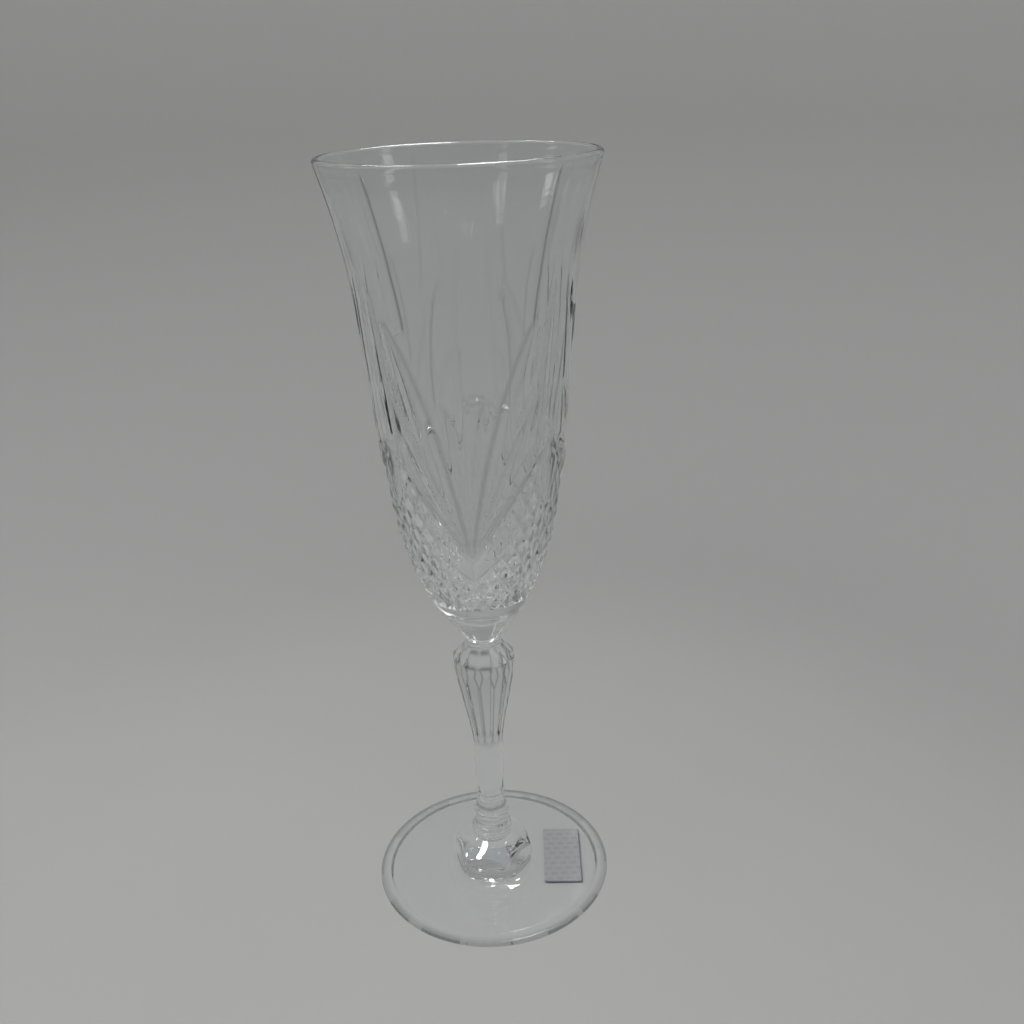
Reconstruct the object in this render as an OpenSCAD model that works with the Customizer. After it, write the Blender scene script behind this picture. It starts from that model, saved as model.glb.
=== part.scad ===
// Champagne flute: pressed crystal bowl with fan and diamond cuts, faceted stem,
// domed foot with a raised hexagonal hub, and a small paper label under the foot.
// Millimetres. +Z is up; the origin is the middle of the plane that the foot rests on.

/* [Overall] */
// Height from the resting plane to the top of the lip
height = 216; // [210:1:222]
// Outside diameter of the lip
rim_d = 70.6; // [68:0.2:74]
// Outside diameter of the foot
foot_d = 71.6; // [68:0.2:76]

/* [Bowl] */
// Wall thickness at the lip
lip_wall = 1.5; // [1.2:0.1:2]
// Wall thickness at the waist, before cutting
waist_wall = 2.3; // [2:0.1:2.8]
// Outside radius of the plain bowl just above the cut band
waist_r = 24.9; // [24:0.1:26]
// Outside radius of the cut band at its top
band_r = 23.9; // [23:0.1:24.5]
// Height where the plain bowl steps in to the cut band
waist_z = 141; // [138:1:144]
// Height where the bowl is fused to the stem
neck_z = 83; // [82:0.5:84]
// Radius of the fused joint between bowl and stem
neck_r = 5.2; // [5:0.1:6]
// Lowest point of the inside of the bowl
well_z = 91; // [90:0.5:94]

/* [Cuts] */
// Number of fans around the bowl
fans = 3; // [3:1:3]
// Turn of the fans about the bowl's axis
fan_turn = -4.5; // [-10:0.5:10]
// Turn of the panel lines above the fans about the bowl's axis
panel_turn = 1; // [-10:1:10]
// Depth of the long grooves of a fan
ray_depth = 0.7; // [0.3:0.1:1]
// Depth of the short crossed grooves of the diamond band
diamond_depth = 0.8; // [0.4:0.1:1]
// Crossed grooves in each direction around the diamond band
diamonds = 24; // [15:3:27]

/* [Stem] */
// Half width across the flats at the widest place of the stem
shoulder_r = 9; // [8:0.1:9.5]
// Height of the widest place of the stem
shoulder_z = 74; // [72:1:76]
// Radius of the round lower stem
shaft_r = 4.55; // [4:0.05:5]
// Height where the long facets run out into the round stem
taper_z = 48; // [44:1:52]
// Radius of the upper ring of the knop
ring_r = 5.45; // [5:0.05:6]
// Radius of the lower ring of the knop
collar_r = 6.3; // [6:0.05:7]
// Height where the stem is fused to the hub of the foot
hub_z = 13.5; // [13:0.5:14]
// Turn of the stem's facets about its axis
facet_turn = 3; // [0:1:30]

/* [Foot] */
// Thickness of the foot at its edge
foot_edge = 1.8; // [1.6:0.1:2.4]
// Depth of the hollow under the foot
hollow = 0.8; // [0.5:0.1:1]
// Outside radius of the hub's skirt
hub_r = 13.2; // [12:0.1:14]
// Turn of one corner of the hexagonal hub from the front
hub_turn = 16; // [0:1:60]

/* [Label] */
// Width of the label
label_w = 11.8; // [10:0.2:13]
// Length of the label
label_l = 24.6; // [20:0.2:26]
// Thickness of the label
label_t = 0.12; // [0.1:0.01:0.2]

/* [Hidden] */
$fn = 96;

crystal = [0.86, 0.9, 0.9, 0.55];
rim_r = rim_d / 2;
foot_r = foot_d / 2;
lip_r = lip_wall / 2;
flare_z = 181;        // lower end of the flared part of the bowl
flare_r = 28.3;       // outside radius there
flare_wall = 2;       // wall thickness there
step = 10;            // straight pieces in one curved stretch
apex_z = 117;         // height where the rays of a fan meet
facets = 12;          // long facets of the stem
band_z = waist_z - 2; // top of the cut band
rest_out = foot_r - 1.2;
rest_in = foot_r - 3;
hollow_r = foot_r - 4;
label_at = [21.7, 0.5];
label_turn = -3;

// Point at t on the curve with end points a, d and handles b, c
function curve(a, b, c, d, t) =
    pow(1 - t, 3) * a + 3 * pow(1 - t, 2) * t * b + 3 * (1 - t) * t * t * c + t * t * t * d;

// Points along that curve, without its last one
function run(a, b, c, d) = [for (i = [0 : step - 1]) curve(a, b, c, d, i / step)];

// Arc of radius r about m from angle a0 to a1
function arc(m, r, a0, a1, n = 6) =
    [for (i = [0 : n]) let (a = a0 + (a1 - a0) * i / n) m + r * [cos(a), sin(a)]];

// Outside of the cut band, from the fused joint up
band_side = run([neck_r, neck_z], [12.9, neck_z + 10.4], [22.4, 106.5], [band_r, band_z]);

// Outside of the plain bowl, from the waist up to the lip
waist = [waist_r, waist_z];
flare = [flare_r, flare_z];
lip_edge = [rim_r, height - lip_r];
bowl_side = concat(
    run(waist, [waist_r + 0.8, 154], [flare_r - 1.2, 168], flare),
    run(flare, [flare_r + 1.1, 193], [rim_r - 3.5, height - 12], lip_edge)
);

// Inside of the bowl, from the lip down to the middle of the well
lip_in = [rim_r - lip_wall, height - lip_r];
flare_in = flare - [flare_wall, 0];
waist_in = waist - [waist_wall, 0];
well_side = concat(
    run(lip_in, [rim_r - 5.2, height - 12], [flare_r - 0.8, 193], flare_in),
    run(flare_in, [flare_in[0] - 1.2, 168], [waist_in[0] + 0.9, 154], waist_in),
    run(waist_in, [waist_in[0] - 1.7, 113], [12.5, well_z], [0, well_z])
);

// Outside radius of the bowl at height z, from the curves above
outline = concat(band_side, [[band_r, band_z]], bowl_side, [lip_edge]);
function bowl_r(z) = lookup(z, [for (p = outline) [p[1], p[0]]]);

// Point on the outside of the bowl at turn a and height z
function on_bowl(a, z) = [bowl_r(z) * sin(a), -bowl_r(z) * cos(a), z];

// Square bar from point p to point q with one edge d below the straight line between them
module v_cut(p, q, d) {
    run_v = q - p;
    length = norm(run_v);
    pan = atan2(run_v[1], run_v[0]);
    tilt = acos(run_v[2] / length);
    mid = (p + q) / 2;
    side = 2.2;
    out = [mid[0], mid[1], 0] / norm([mid[0], mid[1]]);
    // turn of the bar about its own length that puts one edge towards the axis
    local = [cos(tilt) * (cos(pan) * out[0] + sin(pan) * out[1]), cos(pan) * out[1] - sin(pan) * out[0]];
    spin = atan2(local[1], local[0]);
    reach = side / sqrt(2) - d;
    translate(p + out * reach)
        rotate([0, tilt, pan])
            rotate([0, 0, spin + 45])
                translate([-side / 2, -side / 2, 0]) cube([side, side, length]);
}

// One fan: long rays spread from the apex, closed below by two rows of edge grooves
module fan_cuts() {
    // where every ray starts and bends: share of its turn, and height
    foot_of = [0.25, 124];
    bend_of = [0.62, 144];
    // turn and height of each ray's tip
    tips = [[-38, 170], [-24, 163], [-16, 158], [-2.5, 172], [16, 158], [24, 163], [38, 170]];
    for (tip = tips) {
        bend = on_bowl(tip[0] * bend_of[0], bend_of[1]);
        v_cut(on_bowl(tip[0] * foot_of[0], foot_of[1]), bend, ray_depth);
        v_cut(bend, on_bowl(tip[0], tip[1]), ray_depth);
    }
    edge_depth = ray_depth + 0.3;
    for (side = [-1, 1]) {
        bend = on_bowl(side * 20, 128);
        v_cut(on_bowl(0, apex_z), bend, edge_depth);
        v_cut(bend, on_bowl(side * 40, 137.5), edge_depth);
    }
}

// Long shallow panel lines in the plain upper bowl, either side of a fan
module panel_cuts() {
    for (side = [-1, 1]) {
        v_cut(on_bowl(side * 39, 211), on_bowl(side * 36, 194), ray_depth / 2);
        v_cut(on_bowl(side * 36, 194), on_bowl(side * 34, 178), ray_depth / 2);
    }
}

// Smooth olive facet between two fans
module olive_cut() {
    facet_r = 15;
    depth = 1.2;
    half_gap = 180 / fans;
    out = [sin(half_gap), -cos(half_gap), 0];
    translate(on_bowl(half_gap, 136.5) + (facet_r - depth) * out) sphere(r = facet_r);
}

// Crossed grooves that leave diamonds standing on the belly
module diamond_cuts() {
    half_turn = 12.6;
    low_z = 100;
    high_z = 119;
    bulge = 0.9; // how far the belly stands out from a groove's straight bottom line
    for (i = [0 : diamonds - 1], side = [-1, 1]) {
        a = i * 360 / diamonds;
        low = on_bowl(a - side * half_turn, low_z);
        high = on_bowl(a + side * half_turn, high_z);
        v_cut(low, high, diamond_depth - bulge);
    }
}

module bowl() {
    color(crystal)
        difference() {
            rotate_extrude()
                polygon(concat(
                    [[0, neck_z]], band_side, [[band_r, band_z]], bowl_side,
                    arc([rim_r - lip_r, height - lip_r], lip_r, 0, 180), well_side, [[0, well_z]]
                ));
            for (k = [0 : fans - 1])
                rotate([0, 0, k * 360 / fans]) {
                    rotate([0, 0, fan_turn]) fan_cuts();
                    rotate([0, 0, fan_turn]) olive_cut();
                    rotate([0, 0, panel_turn]) panel_cuts();
                }
            diamond_cuts();
        }
}

module stem() {
    crown_z = 77;
    joint_r = neck_r - 0.5;
    joint_bead = 0.9;
    core_r = shaft_r - 0.5;
    half_facet = 180 / facets;
    corner_r = shoulder_r / cos(half_facet);
    color(crystal) {
        // joint disc under the bowl, with a rounded edge
        rotate_extrude()
            polygon(concat([[0, neck_z - 2.2], [joint_r - 0.2, neck_z - 2.2]],
                arc([joint_r, neck_z - joint_bead], joint_bead, -60, 90), [[0, neck_z]]));
        // crown and long facets
        rotate([0, 0, facet_turn + half_facet])
            rotate_extrude($fn = facets)
                polygon([[0, taper_z - 2], [core_r, taper_z - 2], [corner_r, shoulder_z], [corner_r, crown_z],
                    [joint_r + 0.3, neck_z - 2], [0, neck_z - 2]]);
        // round lower stem and the two rings of the knop
        rotate_extrude()
            polygon(concat(
                [[0, hub_z], [collar_r - 0.8, hub_z]],
                arc([collar_r - 2.2, hub_z + 2.2], 2.2, -50, 50),
                arc([ring_r - 2.8, hub_z + 8.6], 2.8, -55, 55),
                [[shaft_r, hub_z + 13], [shaft_r, taper_z + 4], [0, taper_z + 4]]
            ));
    }
}

module foot() {
    edge_r = foot_edge / 2;
    dome_top = [collar_r - 0.3, hub_z];
    color(crystal) {
        // disc with a rounded edge, a raised skirt and a hollow underside
        rotate_extrude()
            polygon(concat(
                [[0, hollow], [hollow_r, hollow], [rest_in, 0], [rest_out, 0]],
                arc([foot_r - edge_r, edge_r], edge_r, -50, 90),
                [[25, 2.1], [18, 2.5], [15.5, 3], [hub_r + 0.6, 4], [hub_r - 0.2, 5.2], [0, 5.2]]
            ));
        // hexagonal hub under a round dome
        intersection() {
            translate([0, 0, 5]) rotate([0, 0, hub_turn - 90]) cylinder(r = hub_r, h = hub_z - 5, $fn = 6);
            rotate_extrude()
                polygon(concat(
                    [[0, 5], [hub_r, 5], [hub_r, 7]],
                    [for (i = [1 : step]) curve([hub_r, 7], [12.6, 10.2], [10, 12.4], dome_top, i / step)],
                    [[0, hub_z]]
                ));
        }
    }
}

module label() {
    color([0.78, 0.78, 0.81])
        translate([label_at[0], label_at[1], hollow - label_t])
            rotate([0, 0, label_turn])
                translate([-label_w / 2, -label_l / 2, 0]) cube([label_w, label_l, label_t]);
}

bowl();
stem();
foot();
label();
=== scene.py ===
"""Champagne flute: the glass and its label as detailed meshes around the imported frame.

The bowl, stem and foot are each one mesh through rings of points. Outlines are in millimetres, and
azimuths in degrees right of the front, which is -Y. The glass stands on a round paper sweep under soft
studio light.
"""
import math

import bpy
import numpy as np
from mathutils import Matrix, Vector


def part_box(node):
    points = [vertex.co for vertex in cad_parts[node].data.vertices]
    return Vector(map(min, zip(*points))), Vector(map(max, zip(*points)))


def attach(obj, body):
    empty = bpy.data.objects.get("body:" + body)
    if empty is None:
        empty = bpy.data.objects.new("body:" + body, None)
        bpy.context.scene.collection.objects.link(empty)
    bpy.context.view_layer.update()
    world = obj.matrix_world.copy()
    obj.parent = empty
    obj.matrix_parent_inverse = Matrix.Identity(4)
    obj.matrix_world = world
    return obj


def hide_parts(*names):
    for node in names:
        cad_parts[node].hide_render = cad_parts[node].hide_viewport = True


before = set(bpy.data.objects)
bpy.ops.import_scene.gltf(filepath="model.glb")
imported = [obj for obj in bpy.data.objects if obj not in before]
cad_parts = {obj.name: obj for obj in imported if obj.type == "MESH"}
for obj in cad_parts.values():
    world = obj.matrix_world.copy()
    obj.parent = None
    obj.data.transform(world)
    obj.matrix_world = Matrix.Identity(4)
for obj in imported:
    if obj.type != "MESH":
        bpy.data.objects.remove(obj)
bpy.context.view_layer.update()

# ---------------------------------------------------------------- sizes, in millimetres and degrees
MM = 0.001


def mm_box(node):
    """Lowest and highest corners of a CAD node, in millimetres."""
    low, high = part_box(node)
    return np.array(low) / MM, np.array(high) / MM


bowl_low, bowl_high = mm_box("bowl")
foot_high = mm_box("foot")[1]
label_low, label_high = mm_box("label")

HEIGHT = bowl_high[2]
RIM_R = bowl_high[0]
NECK_Z = bowl_low[2]
HUB_Z = foot_high[2]
FOOT_R = foot_high[0]

LIP_WALL = 1.9            # across the rounded lip
NECK_R = 5.2              # of the joint between bowl and stem
WELL_Z = 91.0             # lowest point of the inside of the bowl
WAIST = (24.9, 141.0)     # radius and height where the plain bowl ends
BAND = (23.9, 139.0)      # and where the recessed cut band starts
FLARE = (28.3, 181.0)     # lower end of the flare
STEP_IN = WAIST[0] - BAND[0]
WAIST_WALL = 2.3

FANS = 3
FAN_ARC = 360 / FANS
FAN_DIAMONDS = 9          # diamonds across one fan's share of the bowl
FAN_TURN = -4.5           # the fans' middles, in degrees right of the front
PANEL_TURN = 1.0          # the same for the panel lines above them
APEX_Z = 117.0            # where the rays of a fan meet
DIAMOND_ARC = FAN_ARC / FAN_DIAMONDS
DIAMOND_STEEP = 1.6       # a diamond's height for each unit of its width, DIAMOND_ARC
DIAMOND_ROW = 117.3       # a height where grooves cross
DIAMOND_DEPTH = 1.0
FIELD_FOOT = 98.0         # lowest diamonds
DIAMOND_COLUMNS = 16      # mesh columns across one diamond
BOWL_COLUMNS = FANS * FAN_DIAMONDS * DIAMOND_COLUMNS
LINE_COLUMNS = (-35, 48)  # mesh columns that follow the panel lines, counted from a fan's middle

FACETS = 12               # long facets of the stem
FACET_ARC = 360 / FACETS
FACET_TURN = 3.0
TAPER_Z = 46.0            # about where the facets run out into the round shaft
SHOULDER_Z = 76.6         # top of the long facets, where the crown starts
CROWN_LINE_Z = 80.2       # a second moulded line, on the crown

HOLLOW = 0.8              # depth of the hollow under the foot
FOOT_EDGE = 0.9           # radius of the foot's rounded edge
SKIRT_TOP_Z = 5.2         # where the hub rises from the skirt around it
HUB_TURN = 16.0           # a corner of the hexagonal hub
HUB_ARC = 60              # one side of the hub
HUB_FLAT = 11.4           # from the axis to the middle of a side
HUB_CORNER = 12.7         # and to a rounded corner


# ---------------------------------------------------------------- shapes
def curve(a, b, c, d, count):
    """Points along the curve with ends a, d and handles b, c, without its last one."""
    t = np.linspace(0, 1, count, endpoint=False)[:, None]
    a, b, c, d = (np.array(p, float) for p in (a, b, c, d))
    return (1 - t) ** 3 * a + 3 * (1 - t) ** 2 * t * b + 3 * (1 - t) * t * t * c + t**3 * d


def arc(centre, radius, start, end, count):
    """Points on an arc, angles in degrees."""
    t = np.radians(np.linspace(start, end, count))
    return np.array(centre) + radius * np.stack([np.cos(t), np.sin(t)], -1)


def smooth(x):
    """0 below 0, 1 above 1, and an even slope between."""
    x = np.clip(x, 0, 1)
    return x * x * (3 - 2 * x)


def rounded(x, edge):
    """|x| with its corner rounded off."""
    return np.sqrt(x * x + edge * edge) - edge


def soft_step(x, edge):
    """x where it is above 0 and 0 below, with its corner rounded off."""
    return (x + np.sqrt(x * x + edge * edge)) / 2


def wedge(across, half_width, edge=0.2):
    """V-shaped groove: 1 on its bottom line, 0 at its edges and beyond."""
    half_width = np.maximum(half_width, 1e-6)
    return np.clip(1 - rounded(across, edge) / half_width, 0, None)


def stroke(across, width=0.3):
    """1 on a line and 0 away from it: how much painted shade a thin line lays on the glass, or how deep a
    thin cut line is.
    """
    return np.exp(-((across / width) ** 2))


plain_side = np.vstack([
    curve(WAIST, (WAIST[0] + 0.8, 154), (FLARE[0] - 1.2, 168), FLARE, 40),
    curve(FLARE, (FLARE[0] + 1.1, 193), (RIM_R - 3.5, HEIGHT - 12), (RIM_R, HEIGHT - LIP_WALL / 2), 41),
    [(RIM_R, HEIGHT - LIP_WALL / 2)],
])
band_side = np.vstack([
    curve((NECK_R, NECK_Z), (12.9, NECK_Z + 10.4), (22.4, 106.5), BAND, 60),
    [BAND],
])


def band_r(z):
    """Outside radius of the recessed band, carried on above it at the same depth."""
    return np.where(
        z <= BAND[1],
        np.interp(z, band_side[:, 1], band_side[:, 0]),
        np.interp(z, plain_side[:, 1], plain_side[:, 0]) - STEP_IN,
    )


def plain_r(z):
    """Outside radius of the uncut bowl, carried on below the waist until it meets the band."""
    meet_z = 108
    below = np.interp(z, band_side[:, 1], band_side[:, 0])
    below = below + STEP_IN * smooth((z - meet_z) / (BAND[1] - meet_z))
    above = np.interp(z, plain_side[:, 1], plain_side[:, 0])
    blend = smooth((z - BAND[1]) / (WAIST[1] - BAND[1]))
    return below * (1 - blend) + above * blend


# the diamonds keep their shape as the bowl narrows, so their heights are summed up along it
lattice_z = np.linspace(95, 150, 551)
lattice_step = np.diff(lattice_z) / (DIAMOND_STEEP * band_r(lattice_z[:-1]) * math.radians(DIAMOND_ARC))
lattice_up = np.concatenate([[0], np.cumsum(lattice_step)])
lattice_up += 0.5 - np.interp(DIAMOND_ROW, lattice_z, lattice_up)


def fan_angle(azimuth, turn):
    """Degrees from the middle of the nearest fan."""
    return (azimuth - turn + FAN_ARC / 2) % FAN_ARC - FAN_ARC / 2


def panel_line(z):
    """Degrees from the middle of a plain panel to the line along its side."""
    return np.interp(z, [176, 190, 202, 214], [33.5, 36.5, 38.5, 40])


def edge_line(d):
    """Height of the lower edge of the fans, by degrees from a fan's middle."""
    angles = [0, 8, 15, 25, 35, 45, 55, 60]
    heights = [APEX_Z, 121.4, 126.2, 132.3, 137.6, 142, 145.6, 146.6]
    return np.interp(np.abs(d), angles, heights)


def leaf_cut(d, z, radius, start, tip, half_width, outline):
    """Depth and painted shade of one leaf-shaped groove from start to tip, each (degrees, height).

    A leaf from the apex is widest two thirds of the way up, and any other just below its middle.
    """
    rise = tip[1] - start[1]
    s = (z - start[1]) / rise
    inside = np.clip(s, 0, 1)
    slope = math.radians(tip[0] - start[0]) * WAIST[0] / rise
    across = np.radians(d - start[0] - (tip[0] - start[0]) * s) * radius / math.hypot(1, slope)
    fullness = inside if start[0] == 0 else inside**0.4
    width = half_width * 2.6 * fullness * np.sqrt(1 - inside)
    within = (s > 0) * (s < 1)
    # painted shade along the groove's bottom line, and more along its inner outline
    inner_edge = stroke(across + width - 0.3, 0.75)
    dark = np.maximum(0.1 * stroke(across), outline * inner_edge) * smooth(width / 0.6)
    return 0.24 * width * wedge(across, width) * within, dark * within


def bowl_outside(azimuth, z):
    """Outside radius of the cut bowl, and the painted shade along its creases and cut lines."""
    d = fan_angle(azimuth, FAN_TURN)
    side = np.abs(d)
    radius = plain_r(z)
    front = smooth(np.cos(np.radians(azimuth)) / 0.6)   # 1 across the front, 0 from the sides back

    # leaves of the fan: (degrees, height) of both ends, half width, painted shade along the inner outline
    apex = (0, APEX_Z)
    leaves = [
        (apex, (0.0, 174), 1.6, 0.25),
        (apex, (11.5, 161), 1.5, 0.1),
        (apex, (42.0, 180), 3.3, 0.4),
        (apex, (47.0, 162), 1.9, 0.15),
        ((45, 144), (51.5, 187), 1.0, 0.1),
    ]
    cut = np.zeros_like(z)
    dark = np.zeros_like(z)
    for start, tip, half_width, outline in leaves:
        # the painted shade on the outlines is stronger across the front
        shade = outline * (0.3 + 0.7 * front)
        depth, line = leaf_cut(side, z, radius, start, tip, half_width, shade)
        cut = np.maximum(cut, depth)
        dark = np.maximum(dark, line)

    # panel lines of the plain upper bowl: a crease with one steep and one shallow side
    p = np.abs(fan_angle(azimuth, PANEL_TURN))
    across = np.radians(p - panel_line(z)) * radius
    fade = smooth((z - 176) / 4) * smooth((214.2 - z) / 1.5)
    ridge = np.where(across < 0, wedge(across, 0.6, 0.05), wedge(across, 4.0, 0.05))
    cut = np.maximum(cut, (0.1 + 0.35 * front) * ridge * fade)
    # painted shade along each panel line, stronger across the front
    dark = np.maximum(dark, (0.15 + 0.8 * front) * stroke(across + 0.1, 0.5) * fade)

    # arches between the panel lines: the sides of an ellipse, in degrees by height
    arch_mid_z, arch_half_height, arch_half_width = 165, 33, 20.3
    arch = arch_half_width * np.sqrt(np.clip(1 - ((z - arch_mid_z) / arch_half_height) ** 2, 0.01, 1))
    across = np.radians(p - arch) * radius
    fade = smooth((z - 157) / 5) * smooth((190 - z) / 6)
    cut = np.maximum(cut, 0.16 * wedge(across, 0.8) * fade)
    # painted shade along the arch lines
    dark = np.maximum(dark, 0.4 * stroke(across) * fade)

    # the recessed band below the fans' edge, which steps in sharply except between two fans
    edge = edge_line(d)
    slope = (edge_line(side + 0.5) - edge_line(side - 0.5)) / (math.radians(1) * radius)
    below = (edge - z) / np.hypot(1, slope)
    between = smooth((side - 44) / 12)
    in_band = smooth((below + 0.3 + 2.2 * between) / (0.9 + 5.1 * between))
    radius = radius * (1 - in_band) + np.minimum(band_r(z), radius) * in_band
    cut = cut * (1 - in_band)
    dark = dark * (1 - in_band)
    cut = np.maximum(cut, (0.7 - 0.5 * between) * wedge(below - 0.5, 1.6) * smooth((z - 100) / 10))
    # painted shade along both borders of the recessed band
    borders = np.maximum(stroke(below + 0.9, 0.4), stroke(below - 1.1, 0.5))
    dark = np.maximum(dark, 0.3 * borders * smooth((z - 112) / 6))

    # a pair of plain kites under the apex, either side of a spine
    kite_low_z, spine_low_z = 109, 108.5
    kite_foot = kite_low_z + 8 * side / 24
    kite = smooth((z - kite_foot) / 0.8) * smooth((26 - side) / 2)
    kite_line = stroke((z - kite_foot) / 1.3, 0.35) * smooth((25 - side) / 2)
    spine = stroke(np.radians(d) * radius, 0.3) * smooth(z - spine_low_z) * smooth(APEX_Z - z)

    # the smooth olive facet between two fans
    olive_z, olive_half_height, olive_half_width = 137.5, 9.5, 5.0
    olive_across = np.radians(FAN_ARC / 2 - side) * radius
    olive_height = np.clip(1 - ((z - olive_z) / olive_half_height) ** 2, 0, 1)
    olive = smooth((olive_height**0.7 * olive_half_width - olive_across) / 0.8) * (olive_height > 0)

    # diamonds, between two sets of grooves that climb to the left and to the right
    up = np.interp(z, lattice_z, lattice_up)
    along = d / DIAMOND_ARC
    nearest = [np.abs((v + 0.5) % 1 - 0.5) * 2 for v in (up + along, up - along)]
    grooves = 1 - np.minimum(np.minimum(*nearest), 0.85)
    field = smooth((below - 0.9) / 0.9) * smooth((z - FIELD_FOOT) / 1.5) * (1 - olive) * (1 - kite)
    depth = DIAMOND_DEPTH * (1 - 0.35 * smooth((z - 118) / 18))
    cut = np.maximum(cut, (depth * grooves - 0.15) * field)
    cut = np.maximum(cut, 0.4 * np.maximum(kite_line, spine))
    cut = np.maximum(cut, (0.55 - 0.35 * (olive_across / olive_half_width) ** 2) * olive * in_band)
    # painted shade: a faint touch where the diamond grooves cross, and more along the kite lines and the
    # spine
    pits = stroke(np.maximum(*nearest), 0.25) * field
    dark = np.maximum(dark, 0.05 * pits)
    dark = np.maximum(dark, 0.2 * np.maximum(kite_line, spine))
    return radius - cut, dark


def warped(azimuth, z):
    """Moves the columns of the upper bowl sideways, so that one of them runs along each panel line."""
    left, right = (column * DIAMOND_ARC / DIAMOND_COLUMNS for column in LINE_COLUMNS)
    turn = PANEL_TURN - FAN_TURN
    d = fan_angle(azimuth, FAN_TURN)
    line = panel_line(z)
    half = FAN_ARC / 2
    to_left, to_right = turn - line, turn + line
    on_left = -half + (d + half) * (to_left + half) / (left + half)
    between = to_left + (d - left) * (to_right - to_left) / (right - left)
    on_right = half - (half - d) * (half - to_right) / (half - right)
    target = np.where(d < left, on_left, np.where(d > right, on_right, between))
    return azimuth + (target - d) * smooth((z - 170) / 7)


def bowl_rings():
    """Rings of the bowl from its joint face, up the outside, over the lip and down the inside."""
    step = 1 / DIAMOND_COLUMNS
    field_top = 147
    low, high = np.interp([FIELD_FOOT - 1.5, field_top], lattice_z, lattice_up)
    lattice_rows = np.interp(np.arange(math.ceil(low / step), high / step) * step, lattice_up, lattice_z)
    heights = np.concatenate([
        np.linspace(NECK_Z, lattice_rows[0] - 1, 8),
        lattice_rows,
        np.linspace(lattice_rows[-1] + 1, 180, 32),
        np.linspace(182, HEIGHT - LIP_WALL / 2, 16),
    ])
    lip_mid = (RIM_R - LIP_WALL / 2, HEIGHT - LIP_WALL / 2)
    lip = arc(lip_mid, LIP_WALL / 2, 0, 180, 13)[1:]
    throat = (RIM_R - 2.6, HEIGHT - 6)
    flare_in = (FLARE[0] - 2.0, FLARE[1])
    waist_in = (WAIST[0] - WAIST_WALL, WAIST[1])
    inside = np.vstack([
        curve(lip[-1], (RIM_R - 1.7, HEIGHT - 2.6), (RIM_R - 2.2, HEIGHT - 4), throat, 6)[1:],
        curve(throat, (RIM_R - 4.7, HEIGHT - 14), (FLARE[0] - 0.8, 193), flare_in, 7),
        curve(flare_in, (flare_in[0] - 1.2, 168), (waist_in[0] + 0.9, 154), waist_in, 4),
        curve(waist_in, (waist_in[0] - 1.7, 113), (12.5, WELL_Z), (0.0, WELL_Z), 16),
    ])
    return cut_rings(bowl_outside, BOWL_COLUMNS, FAN_TURN, heights, np.vstack([lip, inside]), warped)


def cut_rings(outside, columns, turn, heights, after, warp=None):
    """Rings through a cut outside surface at these heights, and then through a smooth outline after it.

    Each quad is marked to flip its diagonal where the other one lies clearly closer to the true surface.
    """
    azimuth = turn + np.arange(columns + 1) * 360 / columns
    z = np.repeat(heights[:, None], columns + 1, 1)
    azimuth = np.repeat(azimuth[None, :], len(heights), 0)
    if warp:
        azimuth = warp(azimuth, z)
    radii, dark = outside(azimuth, z)
    mid_azimuth = (azimuth[:-1, :-1] + azimuth[1:, 1:]) / 2
    mid_z = (z[:-1, :-1] + z[1:, 1:]) / 2
    middle = outside(mid_azimuth, mid_z)[0]
    rising = np.abs((radii[:-1, :-1] + radii[1:, 1:]) / 2 - middle)
    falling = np.abs((radii[:-1, 1:] + radii[1:, :-1]) / 2 - middle)
    flip = falling < rising - 0.002
    wide = np.ones((1, columns + 1))
    azimuth = np.vstack([azimuth, np.repeat(azimuth[-1:], len(after), 0)])
    radii = np.vstack([radii, after[:, :1] * wide])
    z = np.vstack([z, after[:, 1:] * wide])
    dark = np.vstack([dark, 0 * after[:, :1] * wide])
    flip = np.vstack([flip, np.zeros((len(after), columns), bool)])
    return azimuth[:, :-1], radii[:, :-1], z[:, :-1], dark[:, :-1], flip


def stem_stock(z):
    """Radius of the stem before its facets are cut."""
    heights = [26, 30, TAPER_Z, 49, 55.4, 61.4, 67.7, 73.5, SHOULDER_Z]
    radii = [4.62, 4.5, 4.55, 4.5, 5.62, 6.8, 8.0, 9.15, 9.3]
    return np.interp(z, heights, radii)


def stem_outside(azimuth, z):
    """Outside radius of the faceted part of the stem, and the painted shade along its edges and moulded
    lines.
    """
    off_long = (azimuth - FACET_TURN + FACET_ARC / 2) % FACET_ARC - FACET_ARC / 2
    off_kite = FACET_ARC / 2 - np.abs(off_long)
    stock = stem_stock(z)
    half = np.radians(0.53 * FACET_ARC * smooth((z - 44) / 7))
    hollow = 0.12 * smooth((z - 47) / 8) * (1 - (off_long / (FACET_ARC / 2)) ** 2)
    long_facet = stock * np.cos(half) / np.cos(np.radians(off_long)) - hollow
    kite = (8.4 + 0.1 * (z - 70.5)) / np.cos(np.radians(off_kite))
    crown = (9.05 - 0.86 * (z - 76.4)) / np.cos(np.radians(off_long))
    shapes = np.stack([stock, long_facet, kite, crown])
    order = np.sort(shapes, 0)
    # painted shade along the facet edges, and in uneven patches along the shoulder line and the crown line
    edge = stroke(order[1] - order[0], 0.09) * smooth((z - TAPER_Z) / 4)
    seam_shade = stroke(z - SHOULDER_Z, 0.6) + stroke(z - CROWN_LINE_Z, 0.6)
    uneven = smooth(0.5 + np.sin(np.radians(4 * azimuth + 50)) * np.cos(np.radians(7 * azimuth)))
    return order[0], np.maximum(0.75 * edge, 0.9 * seam_shade * uneven)


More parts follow.
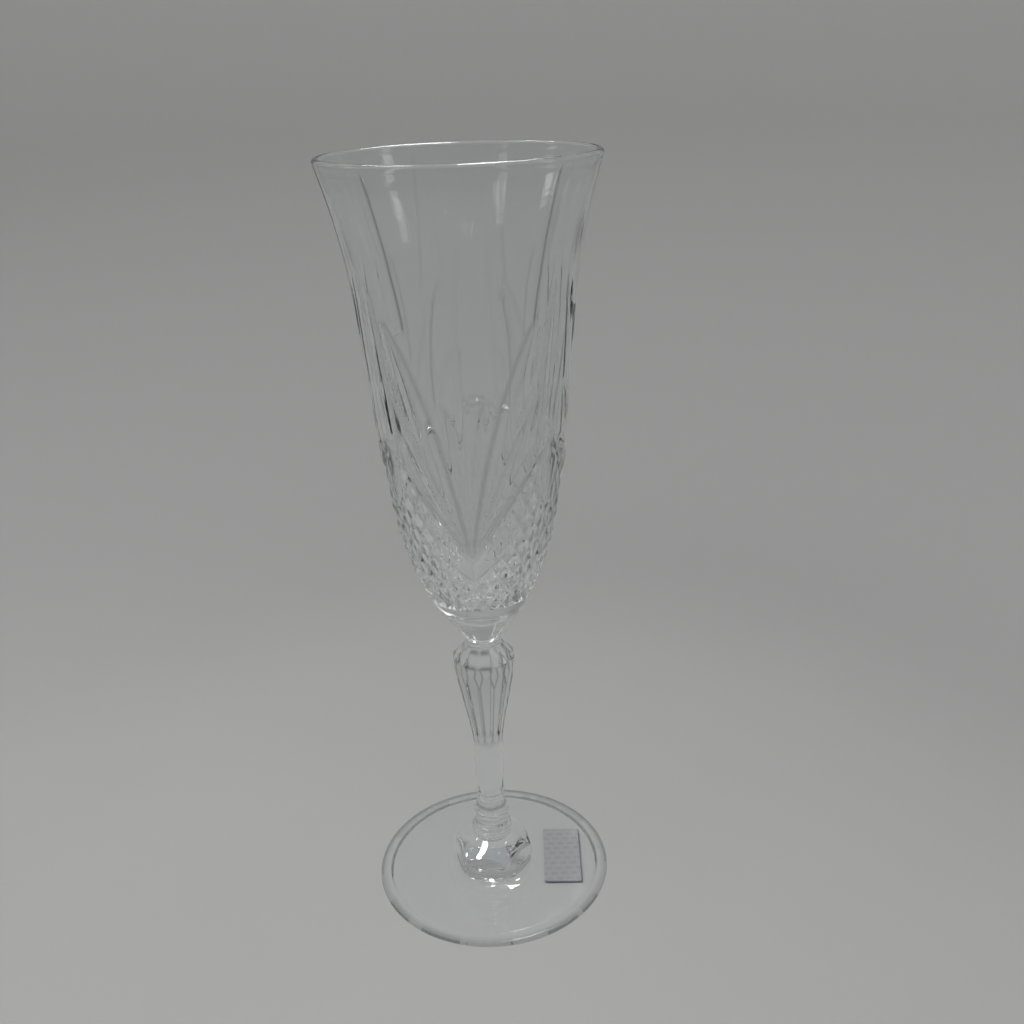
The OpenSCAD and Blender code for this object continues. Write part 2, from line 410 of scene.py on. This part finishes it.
def stem_rings():
    """Rings of the stem from the hub joint up to the bowl joint."""
    knop = np.vstack([
        [(5.2, HUB_Z)],
        arc((4.1, HUB_Z + 2.2), 2.2, -50, 48, 14),
        arc((2.65, HUB_Z + 8.6), 2.8, -52, 50, 14),
    ])
    collar = np.vstack([
        arc((NECK_R - 0.6, 81.6), 0.7, -60, 60, 7),
        arc((NECK_R - 0.5, NECK_Z - 0.5), 0.5, -50, 90, 7),
    ])
    heights = np.concatenate([
        np.linspace(26, 43, 6), np.linspace(44, 68, 50), np.linspace(68.3, 80.6, 48),
    ])
    facet_columns = 16
    azimuth, radii, z, dark, flip = cut_rings(
        stem_outside, FACETS * facet_columns, FACET_TURN - 180 / FACETS, heights, collar
    )
    knop_top_z = HUB_Z + 10.9
    # painted shade along a line near the top of the knop
    knop_dark = 0.8 * stroke(knop[:, 1:] - knop_top_z, 0.35)
    wide = np.ones((1, azimuth.shape[1]))
    return (
        np.vstack([np.repeat(azimuth[:1], len(knop), 0), azimuth]),
        np.vstack([knop[:, :1] * wide, radii]),
        np.vstack([knop[:, 1:] * wide, z]),
        np.vstack([knop_dark * wide, dark]),
        np.vstack([np.zeros((len(knop), azimuth.shape[1]), bool), flip]),
    )


def foot_rings():
    """Rings of the foot from under its disc, out round the edge and up to the joint face on the hub."""
    columns = 240
    azimuth = HUB_TURN + np.arange(columns) * 360 / columns
    inner = [(4, HOLLOW), (12, HOLLOW), (24, HOLLOW), (31.0, HOLLOW)]
    under = np.array(inner + [(31.5, 0.78), (31.9, 0.65), (32.4, 0.25), (32.9, 0.0)])
    rim = arc((FOOT_R - FOOT_EDGE, FOOT_EDGE), FOOT_EDGE, -90, 90, 14)
    skirt_foot, skirt_top = (16.5, 2.6), (11.3, SKIRT_TOP_Z)
    top = curve((FOOT_R - FOOT_EDGE, 2 * FOOT_EDGE), (30, 1.9), (22, 2.2), skirt_foot, 10)
    skirt = curve(skirt_foot, (13.6, 2.9), (11.6, 3.4), skirt_top, 10)
    hub_low, hub_high = (13.25, 6.6), (6.0, HUB_Z)
    shoulder = np.array([skirt_top, (11.8, 5.6), (12.8, 5.75), (13.2, 6.1), hub_low])
    dome = curve(hub_low, (12.9, 9.4), (10.0, HUB_Z - 0.5), hub_high, 28)
    outline = np.vstack([under, rim, top, skirt, shoulder, dome[1:], [hub_high]])
    z = np.repeat(outline[:, 1:], columns, 1)
    radii = np.repeat(outline[:, :1], columns, 1)

    # the hub's six sides, which lean in a little, cut the dome back and fade out down the skirt
    off_middle = (azimuth - HUB_TURN) % HUB_ARC - HUB_ARC / 2
    flat = (HUB_FLAT - 0.05 * (z - 6.8)) / np.cos(np.radians(off_middle))[None, :]
    flat = flat - soft_step(flat - HUB_CORNER, 0.9)
    above_foot = np.arange(len(outline)) >= len(under) + len(rim) + len(top)
    on_hub = above_foot[:, None] * smooth((z - 3.2) / 1.8)
    # painted shade: a faint line along the hub's sides, and a band darkening towards the foot's rounded
    # edge
    hub_edge_shade = 0.05 * stroke(radii - flat, 0.08) * on_hub * (z > 5.7)
    rim_shade = 0.45 * smooth((radii - FOOT_R + 1.7) / 1.0)
    dark = np.maximum(hub_edge_shade, rim_shade)
    cut = radii - soft_step(radii - flat, 0.9)
    radii = radii * (1 - on_hub) + cut * on_hub
    flip = np.zeros((len(outline), columns), bool)
    return np.repeat(azimuth[None, :], len(outline), 0), radii, z, dark, flip


# ---------------------------------------------------------------- mesh building
def skin(name, azimuth, radii, z, dark, flip, start, end):
    """Mesh through rings of points, closed by a middle point at each end's height.

    It stays open at its start if that height is None.
    """
    rows, columns = radii.shape
    a = np.radians(azimuth)
    points = np.stack([radii * np.sin(a), -radii * np.cos(a), z], -1).reshape(-1, 3)
    points = np.vstack([points, [(0, 0, start or 0)], [(0, 0, end)]]) * MM
    low_left = np.arange(rows * columns).reshape(rows, columns)
    low_right = np.roll(low_left, -1, 1)
    corners = np.stack([low_left[:-1], low_right[:-1], low_right[1:], low_left[1:]], -1).reshape(-1, 4)
    flip = flip[: rows - 1].reshape(-1)
    straight = np.vstack([corners[~flip][:, [0, 1, 2]], corners[~flip][:, [0, 2, 3]]])
    crossed = np.vstack([corners[flip][:, [0, 1, 3]], corners[flip][:, [1, 2, 3]]])
    first = np.stack([np.full(columns, rows * columns), low_right[0], low_left[0]], -1)
    last = np.stack([np.full(columns, rows * columns + 1), low_left[-1], low_right[-1]], -1)
    faces = np.vstack([straight, crossed, last] + ([first] if start is not None else []))
    mesh = bpy.data.meshes.new(name)
    mesh.from_pydata(points.tolist(), [], faces.tolist())
    mesh.validate()
    mesh.shade_smooth()
    # painted shade per point, which the crystal material mixes into the colour of the glass
    painted_shade = mesh.attributes.new("painted_shade", "FLOAT", "POINT")
    painted_shade.data.foreach_set("value", np.append(dark.reshape(-1), [0, 0]).astype(np.float32))
    piece = bpy.data.objects.new(name, mesh)
    bpy.context.scene.collection.objects.link(piece)
    return piece


def fuse(piece, level, material):
    """Gives the flat joint faces at this height the see-through joint material, and a crisp edge."""
    piece.data.materials.append(material)
    slot = len(piece.data.materials) - 1
    near = 1e-3               # millimetres
    for face in piece.data.polygons:
        if all(abs(piece.data.vertices[v].co.z / MM - level) < near for v in face.vertices):
            face.material_index = slot
            face.use_smooth = False


# ---------------------------------------------------------------- materials
def new_material(name):
    """An empty node material, its node tree and its output."""
    material = bpy.data.materials.new(name)
    material.use_nodes = True
    tree = material.node_tree
    tree.nodes.clear()
    output = tree.nodes.new("ShaderNodeOutputMaterial")
    return material, tree, output


def crystal_material():
    """Clear pressed glass: a faint ripple and bloom, a cool tint, and painted shade along its creases and
    edges.
    """
    material, tree, output = new_material("crystal")
    shader = tree.nodes.new("ShaderNodeBsdfPrincipled")
    shader.inputs["Transmission Weight"].default_value = 1.0
    shader.inputs["IOR"].default_value = 1.53
    place = tree.nodes.new("ShaderNodeTexCoord")
    ripple = tree.nodes.new("ShaderNodeTexNoise")
    ripple.inputs["Scale"].default_value = 90
    ripple.inputs["Detail"].default_value = 1.5
    bump = tree.nodes.new("ShaderNodeBump")
    bump.inputs["Strength"].default_value = 0.1
    bump.inputs["Distance"].default_value = 0.0004
    bloom = tree.nodes.new("ShaderNodeTexNoise")
    bloom.inputs["Scale"].default_value = 220
    bloom.inputs["Detail"].default_value = 3
    haze = tree.nodes.new("ShaderNodeMapRange")
    haze.inputs["From Min"].default_value = 0.35
    haze.inputs["From Max"].default_value = 0.75
    haze.inputs["To Min"].default_value = 0.0
    haze.inputs["To Max"].default_value = 0.03
    tint = tree.nodes.new("ShaderNodeMix")
    tint.data_type = "RGBA"
    tint.inputs["A"].default_value = (0.975, 0.985, 0.985, 1)
    tint.inputs["B"].default_value = (0.955, 0.975, 0.975, 1)
    # painted shade: the point attribute darkens the glass colour towards the dark colour below
    painted_shade = tree.nodes.new("ShaderNodeAttribute")
    painted_shade.attribute_name = "painted_shade"
    shade = tree.nodes.new("ShaderNodeMix")
    shade.data_type = "RGBA"
    shade.inputs["B"].default_value = (0.12, 0.14, 0.15, 1)
    link = tree.links.new
    link(place.outputs["Object"], ripple.inputs["Vector"])
    link(place.outputs["Object"], bloom.inputs["Vector"])
    link(ripple.outputs["Fac"], bump.inputs["Height"])
    link(bump.outputs["Normal"], shader.inputs["Normal"])
    link(bloom.outputs["Fac"], haze.inputs["Value"])
    link(haze.outputs["Result"], shader.inputs["Roughness"])
    link(ripple.outputs["Fac"], tint.inputs["Factor"])
    link(painted_shade.outputs["Fac"], shade.inputs["Factor"])
    link(tint.outputs["Result"], shade.inputs["A"])
    link(shade.outputs["Result"], shader.inputs["Base Color"])
    link(shader.outputs["BSDF"], output.inputs["Surface"])
    return material


def joint_material():
    """Fully see-through: where two gathers of glass are fused there is no surface to see."""
    material, tree, output = new_material("fused_joint")
    clear = tree.nodes.new("ShaderNodeBsdfTransparent")
    tree.links.new(clear.outputs["BSDF"], output.inputs["Surface"])
    return material


def paper_material(name, light, dark):
    """Thin greyish label stock, in a light shade with rows of plain dashes in a dark one."""
    material, tree, output = new_material(name)
    shader = tree.nodes.new("ShaderNodeBsdfPrincipled")
    shader.inputs["Roughness"].default_value = 0.55
    place = tree.nodes.new("ShaderNodeTexCoord")
    dashes = tree.nodes.new("ShaderNodeTexBrick")
    dashes.inputs["Scale"].default_value = 1 / MM
    dashes.inputs["Brick Width"].default_value = 3.1
    dashes.inputs["Row Height"].default_value = 2.3
    dashes.inputs["Mortar Size"].default_value = 0.75
    dashes.inputs["Mortar Smooth"].default_value = 0.4
    dashes.inputs["Color1"].default_value = dark
    dashes.inputs["Color2"].default_value = dark
    dashes.inputs["Mortar"].default_value = light
    fibre = tree.nodes.new("ShaderNodeTexNoise")
    fibre.inputs["Scale"].default_value = 700
    mottle = tree.nodes.new("ShaderNodeMix")
    mottle.data_type = "RGBA"
    mottle.inputs["B"].default_value = light
    link = tree.links.new
    link(place.outputs["Object"], dashes.inputs["Vector"])
    link(place.outputs["Object"], fibre.inputs["Vector"])
    link(fibre.outputs["Fac"], mottle.inputs["Factor"])
    link(dashes.outputs["Color"], mottle.inputs["A"])
    link(mottle.outputs["Result"], shader.inputs["Base Color"])
    link(shader.outputs["BSDF"], output.inputs["Surface"])
    return material


def sweep_material():
    """Plain matt studio paper with a faint grain, and a painted fall-off of light that makes it a little
    darker away from its middle.
    """
    material, tree, output = new_material("studio_paper")
    shader = tree.nodes.new("ShaderNodeBsdfPrincipled")
    shader.inputs["Roughness"].default_value = 0.9
    shader.inputs["Specular IOR Level"].default_value = 0.1
    place = tree.nodes.new("ShaderNodeTexCoord")
    grain = tree.nodes.new("ShaderNodeTexNoise")
    grain.inputs["Scale"].default_value = 9
    grain.inputs["Detail"].default_value = 5
    mix = tree.nodes.new("ShaderNodeMix")
    mix.data_type = "RGBA"
    mix.inputs["A"].default_value = (0.43, 0.428, 0.425, 1)
    mix.inputs["B"].default_value = (0.47, 0.465, 0.46, 1)
    # painted fall-off of light: the paper's colour darkens away from a point near its middle
    shift = tree.nodes.new("ShaderNodeVectorMath")
    shift.inputs[1].default_value = (0.05, 0.05, 0)
    away = tree.nodes.new("ShaderNodeVectorMath")
    away.operation = "LENGTH"
    fall = tree.nodes.new("ShaderNodeMapRange")
    fall.interpolation_type = "SMOOTHSTEP"
    fall.inputs["From Min"].default_value = 0.15
    fall.inputs["From Max"].default_value = 0.34
    painted_falloff = tree.nodes.new("ShaderNodeMix")
    painted_falloff.data_type = "RGBA"
    painted_falloff.inputs["B"].default_value = (0.41, 0.41, 0.405, 1)
    link = tree.links.new
    link(place.outputs["Object"], grain.inputs["Vector"])
    link(place.outputs["Object"], shift.inputs[0])
    link(shift.outputs["Vector"], away.inputs[0])
    link(away.outputs["Value"], fall.inputs["Value"])
    link(grain.outputs["Fac"], mix.inputs["Factor"])
    link(mix.outputs["Result"], painted_falloff.inputs["A"])
    link(fall.outputs["Result"], painted_falloff.inputs["Factor"])
    link(painted_falloff.outputs["Result"], shader.inputs["Base Color"])
    link(shader.outputs["BSDF"], output.inputs["Surface"])
    return material


# ---------------------------------------------------------------- pieces
crystal = crystal_material()
joint = joint_material()


def make_piece(name, rings, start, end, levels, node):
    """One gather of glass: its mesh, its materials, the body it rides on and the node it stands for."""
    piece = skin(name, *rings, start, end)
    piece.data.materials.append(crystal)
    for level in levels:
        fuse(piece, level, joint)
    piece.visible_shadow = False      # clear glass lets the lamps through
    piece.visible_diffuse = False
    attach(piece, "root")
    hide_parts(node)
    return piece


make_piece("crystal_bowl", bowl_rings(), NECK_Z, WELL_Z, [NECK_Z], "bowl")
make_piece("faceted_stem", stem_rings(), HUB_Z, NECK_Z, [HUB_Z, NECK_Z], "stem")
make_piece("domed_foot", foot_rings(), HOLLOW, HUB_Z, [HUB_Z], "foot")


def make_label():
    """The stock label under the foot: a thin sheet with rounded corners, and a painted shadow along its
    right and front edges.
    """
    centre = (label_low + label_high) / 2
    width, length, corner, border = 11.8, 24.6, 0.8, 0.35
    shadow_strip = 0.9
    clear = 0.01              # keeps the sheet inside the CAD label
    spin = Matrix.Rotation(math.radians(-3), 2)

    def outline(inset, level):
        """The sheet's outline at this level, moved in by inset."""
        points = []
        for sx, sy, start in ((1, 1, 0), (-1, 1, 90), (-1, -1, 180), (1, -1, 270)):
            mid = (sx * (width / 2 - corner), sy * (length / 2 - corner))
            points.extend(arc(mid, corner - inset, start, start + 90, 6))
        return [(*(Vector(centre[:2]) + spin @ Vector(p)), level) for p in points]

    bottom, top = label_low[2] + clear, label_high[2] - clear
    loops = [outline(0, bottom), outline(0, top), outline(border, top)]
    count = len(loops[0])
    points = [tuple(c * MM for c in p) for loop in loops for p in loop]
    after = [(i + 1) % count for i in range(count)]
    faces = [tuple(reversed(range(count))), tuple(range(2 * count, 3 * count))]
    faces += [(i, after[i], count + after[i], count + i) for i in range(count)]
    faces += [(count + i, count + after[i], 2 * count + after[i], 2 * count + i) for i in range(count)]
    mesh = bpy.data.meshes.new("stock_label")
    mesh.from_pydata(points, [], faces)
    mesh.validate()
    mesh.materials.append(paper_material("label_paper", (0.34, 0.34, 0.355, 1), (0.26, 0.26, 0.28, 1)))
    # painted shadow along the label's right and front edges, in dark grey stock
    mesh.materials.append(paper_material("label_painted_shadow", (0.16, 0.16, 0.19, 1), (0.15, 0.15, 0.18, 1)))
    right_line = centre[0] + width / 2 - shadow_strip
    front_line = centre[1] - length / 2 + shadow_strip
    for face in mesh.polygons[2:]:
        on_right = face.center.x / MM > right_line
        on_front = face.center.y / MM < front_line
        face.material_index = 1 if on_right or on_front else 0
    piece = bpy.data.objects.new("stock_label", mesh)
    bpy.context.scene.collection.objects.link(piece)
    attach(piece, "root")
    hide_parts("label")


make_label()


# ---------------------------------------------------------------- studio
def make_stage():
    """A round paper sweep: flat where the glass stands, rising to a wall all round."""
    flat, bend, wall, columns, floor_rings = 220, 200, 600, 96, 8
    floor = [(flat / floor_rings * i, 0.0) for i in range(1, floor_rings + 1)]
    rise = [(flat + bend * math.sin(t), bend - bend * math.cos(t)) for t in np.radians(np.arange(5, 91, 5))]
    outline = np.array((floor + rise + [(flat + bend, wall)])[::-1])
    azimuth = np.repeat(np.arange(columns)[None, :] * 360 / columns, len(outline), 0)
    radii = np.repeat(outline[:, :1], columns, 1)
    z = np.repeat(outline[:, 1:], columns, 1)
    flip = np.zeros((len(outline), columns), bool)
    sweep = skin("sweep", azimuth, radii, z, 0 * z, flip, None, 0)
    sweep.data.materials.append(sweep_material())


def lamp(name, place, target, size, power, lights):
    """A rectangular lamp at place, turned to face target, seen only by the kinds of ray named in lights."""
    light = bpy.data.lights.new(name, "AREA")
    light.shape = "RECTANGLE"
    light.size, light.size_y = size
    light.energy = power
    holder = bpy.data.objects.new(name, light)
    holder.location = place
    holder.rotation_euler = (Vector(target) - Vector(place)).to_track_quat("-Z", "Y").to_euler()
    holder.visible_camera = False
    holder.visible_diffuse = "diffuse" in lights
    holder.visible_glossy = "glossy" in lights
    holder.visible_transmission = "transmission" in lights
    bpy.context.scene.collection.objects.link(holder)
    return holder


def around(angle, radius, height):
    """A place in metres, at this angle right of the front."""
    return (radius * math.sin(math.radians(angle)), -radius * math.cos(math.radians(angle)), height)


def receivers(name, pieces):
    """A collection of the pieces that a lamp linked to it lights."""
    collection = bpy.data.collections.new(name)
    for piece in pieces:
        collection.objects.link(bpy.data.objects[piece])
    return collection


def make_lights():
    """A dim sky, a soft box for the paper and label, and bright lamps for the glass to catch."""
    world = bpy.data.worlds.new("studio")
    world.use_nodes = True
    background = world.node_tree.nodes["Background"]
    background.inputs["Color"].default_value = (0.93, 0.98, 1.0, 1)
    background.inputs["Strength"].default_value = 0.34
    bpy.context.scene.world = world
    lamp("soft_box", (-0.2, -0.25, 0.95), (-0.06, -0.12, 0), (0.4, 0.4), 6.0, ["diffuse"])

    glass_rays = ["glossy", "transmission"]
    bowl_only = receivers("bowl_only", ["crystal_bowl"])
    stem_and_foot = receivers("stem_and_foot", ["faceted_stem", "domed_foot"])

    # long strips behind, over the glass: (name, distance to the right, width, power)
    behind, over = 0.55, 1.1
    strips = (
        ("strip_middle", 0.085, 0.15, 6.0),
        ("strip_right", 0.235, 0.04, 3.0),
        ("strip_left", -0.35, 0.05, 2.5),
    )
    for name, aside, width, power in strips:
        strip = lamp(name, (aside, behind, over), (aside / 2, 0, 0.2), (width, 0.6), power, glass_rays)
        strip.light_linking.receiver_collection = bowl_only
    strip = lamp("strip_low", (0.1, behind, over), (0, 0, 0), (0.1, 0.3), 2.4, glass_rays)
    strip.light_linking.receiver_collection = stem_and_foot

    # small lamps in a ring over the glass: a few for the foot, and a whole ring for the diamonds
    ring_r, ring_z = 0.34, 0.72
    for i, angle in enumerate((25, -100, 140)):
        place = around(angle, ring_r, ring_z)
        glint = lamp(f"glint_{i}", place, (0, 0, 0.07), (0.05, 0.05), 0.2, glass_rays)
        glint.light_linking.receiver_collection = stem_and_foot
    sparks, first = 12, 5
    middle = (0, 0, HEIGHT * MM / 2)
    for i in range(sparks):
        place = around(first + 360 / sparks * i, ring_r, ring_z)
        spark = lamp(f"spark_{i}", place, middle, (0.09, 0.09), 5.0, ["transmission"])
        spark.light_linking.receiver_collection = bowl_only

    # upright panes round the glass: (angle, height, power)
    for angle, up, power in ((68, 0.3, 0.04), (75, 0.45, 0.02), (-95, 0.37, 0.04), (-43, 0.37, 0.03)):
        lamp(f"pane_{angle}", around(angle, 0.39, up), (0, 0, 0.2), (0.06, 0.12), power, glass_rays)


def make_camera():
    """The photograph's viewpoint: just above the lip, looking down at the glass."""
    sensor = 36.0
    lens_to_sensor = 1.0576
    back, up = 0.2754, 0.2362
    yaw, pitch, roll = 2.04, 22.71, -2.14
    data = bpy.data.cameras.new("camera")
    data.sensor_width = sensor
    data.lens = sensor * lens_to_sensor
    camera = bpy.data.objects.new("camera", data)
    look = Matrix.Rotation(math.radians(-yaw), 4, "Z") @ Matrix.Rotation(math.radians(90 - pitch), 4, "X")
    tilt = Matrix.Rotation(math.radians(roll), 4, "Z")
    camera.matrix_world = Matrix.Translation((0, -back, up)) @ look @ tilt
    bpy.context.scene.collection.objects.link(camera)
    bpy.context.scene.camera = camera


make_stage()
make_lights()
make_camera()
scene = bpy.context.scene
scene.view_settings.view_transform = "Standard"
glass_bounces = 24          # light crosses many walls of cut glass
scene.cycles.max_bounces = glass_bounces
scene.cycles.transmission_bounces = glass_bounces
scene.cycles.transparent_max_bounces = glass_bounces
scene.cycles.glossy_bounces = 8
scene.cycles.blur_glossy = 0.0
